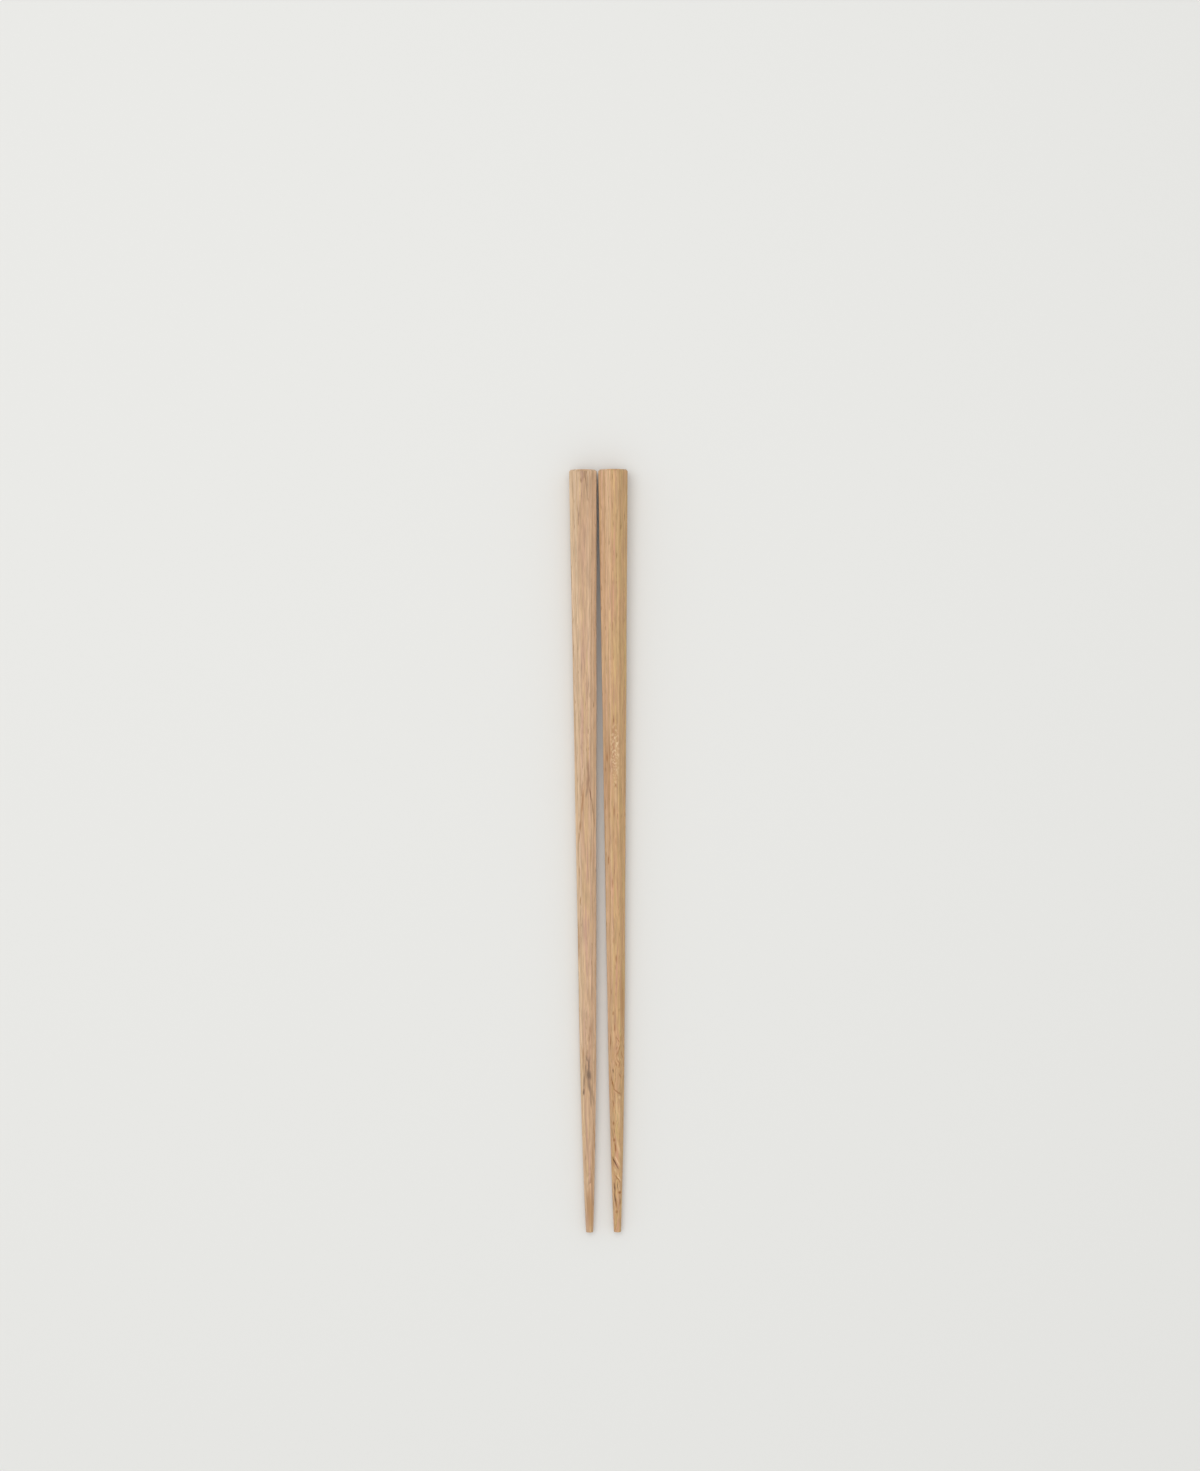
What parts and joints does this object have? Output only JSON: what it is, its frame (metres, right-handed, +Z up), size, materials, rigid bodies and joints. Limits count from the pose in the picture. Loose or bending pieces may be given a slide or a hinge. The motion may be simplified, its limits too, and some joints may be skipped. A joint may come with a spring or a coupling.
{
  "type": "wooden chopsticks",
  "caption": "Slender octagonal wooden chopsticks lying side by side, each tapering from a bevelled head to a thin rounded tip.",
  "frame": {"origin": "centre of the pair on the surface that it lies on", "axes": "+Y from the tips to the heads, +X from the left stick to the right one, +Z up"},
  "size_m": [0.0176, 0.23, 0.0089],
  "materials": {
    "pale_wood": "satin",
    "tan_wood": "satin"
  },
  "bodies": {
    "root": {"left_chopstick": "pale_wood", "right_chopstick": "tan_wood"}
  },
  "joints": []
}
